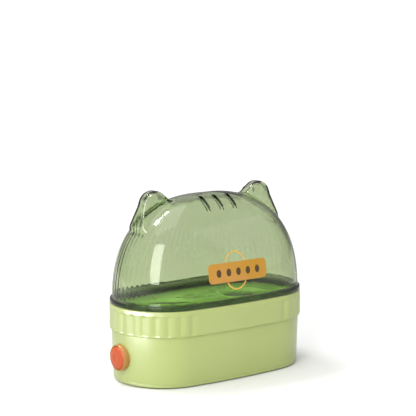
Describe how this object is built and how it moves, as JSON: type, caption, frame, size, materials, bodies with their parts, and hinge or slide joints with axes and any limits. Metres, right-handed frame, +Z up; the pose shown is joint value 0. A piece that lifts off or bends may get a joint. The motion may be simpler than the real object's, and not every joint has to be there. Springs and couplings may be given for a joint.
{
  "type": "egg cooker",
  "caption": "Small electric egg steamer: oval fluted base with water pan and side button, lift-out egg tray and clear domed lid with small ears.",
  "frame": {"origin": "on the table, under the middle of the base", "axes": "+X along the base from the push button to the mains inlet, -Y towards the front with the badge, +Z up"},
  "size_m": [0.1326, 0.0698, 0.1139],
  "materials": {
    "body_plastic": "glossy pastel green moulded polypropylene",
    "collar_plastic": "glossy pastel green moulded polypropylene, fluted",
    "tray_plastic": "satin spring green moulded polypropylene",
    "lid_clear": "clear bottle green polycarbonate, polished",
    "badge_amber": "printed amber ink",
    "emblem_gold": "printed gold ink",
    "button_orange": "glossy orange moulded plastic",
    "bezel_gold": "translucent amber plastic with a gold rim",
    "dark_plastic": "matt black glass-filled nylon",
    "white_plastic": "white nylon",
    "phenolic": "brown phenolic moulding with a steel cap",
    "rubber": "soft black rubber",
    "silicone": "translucent white silicone",
    "pan_steel": "brushed stainless steel",
    "cast_aluminium": "cast aluminium",
    "element_steel": "heat-darkened tubular steel",
    "zinc_steel": "zinc plated steel",
    "tinned_brass": "tinned brass",
    "fuse_white": "white glazed fuse body",
    "lamp_glass": "small neon lamp",
    "label_silver": "blank satin foil plate",
    "wire_brown": "brown silicone wire insulation",
    "wire_black": "black silicone wire insulation",
    "wire_white": "white glass-braided insulation",
    "wire_blue": "blue silicone wire insulation"
  },
  "bodies": {
    "base": {"bottom_cover": "body_plastic", "lower_housing": "body_plastic", "fluted_collar": "collar_plastic", "rubber_feet": "rubber", "cover_screws": "zinc_steel", "rating_plate": "label_silver", "pan_gasket": "silicone", "water_pan": "pan_steel", "pan_screws": "zinc_steel", "heat_spreader": "cast_aluminium", "heating_element": "element_steel", "element_clips": "zinc_steel", "clip_screws": "zinc_steel", "thermostat": "phenolic", "thermostat_screws": "zinc_steel", "thermal_fuse": "fuse_white", "fuse_clip": "zinc_steel", "button_bezel": "bezel_gold", "switch_bracket": "zinc_steel", "switch_body": "dark_plastic", "bracket_screws": "zinc_steel", "indicator_lamp": "lamp_glass", "power_inlet": "dark_plastic", "inlet_pins": "tinned_brass", "inlet_clip": "zinc_steel", "wire_live": "wire_brown", "wire_switched": "wire_black", "wire_fuse_link": "wire_white", "wire_neutral": "wire_blue", "wire_terminals": "tinned_brass"},
    "egg_tray": {"egg_tray": "tray_plastic"},
    "lid": {"lid": "lid_clear", "lid_badge": "badge_amber", "lid_emblem": "emblem_gold"},
    "button": {"button_cap": "button_orange", "button_plunger": "white_plastic", "button_spring": "zinc_steel"}
  },
  "joints": [
    {"name": "tray_lift", "type": "slide", "parent": "base", "child": "egg_tray", "axis": [0, 0, 1], "range_m": [0, 0.04]},
    {"name": "lid_lift", "type": "slide", "parent": "egg_tray", "child": "lid", "axis": [0, 0, 1], "range_m": [0, 0.08]},
    {"name": "button_press", "type": "slide", "parent": "base", "child": "button", "axis": [1, 0, 0], "range_m": [0, 0.0025], "stiffness_N_per_m": 400, "springref_m": -0.001, "deforming": ["button_spring"]}
  ]
}
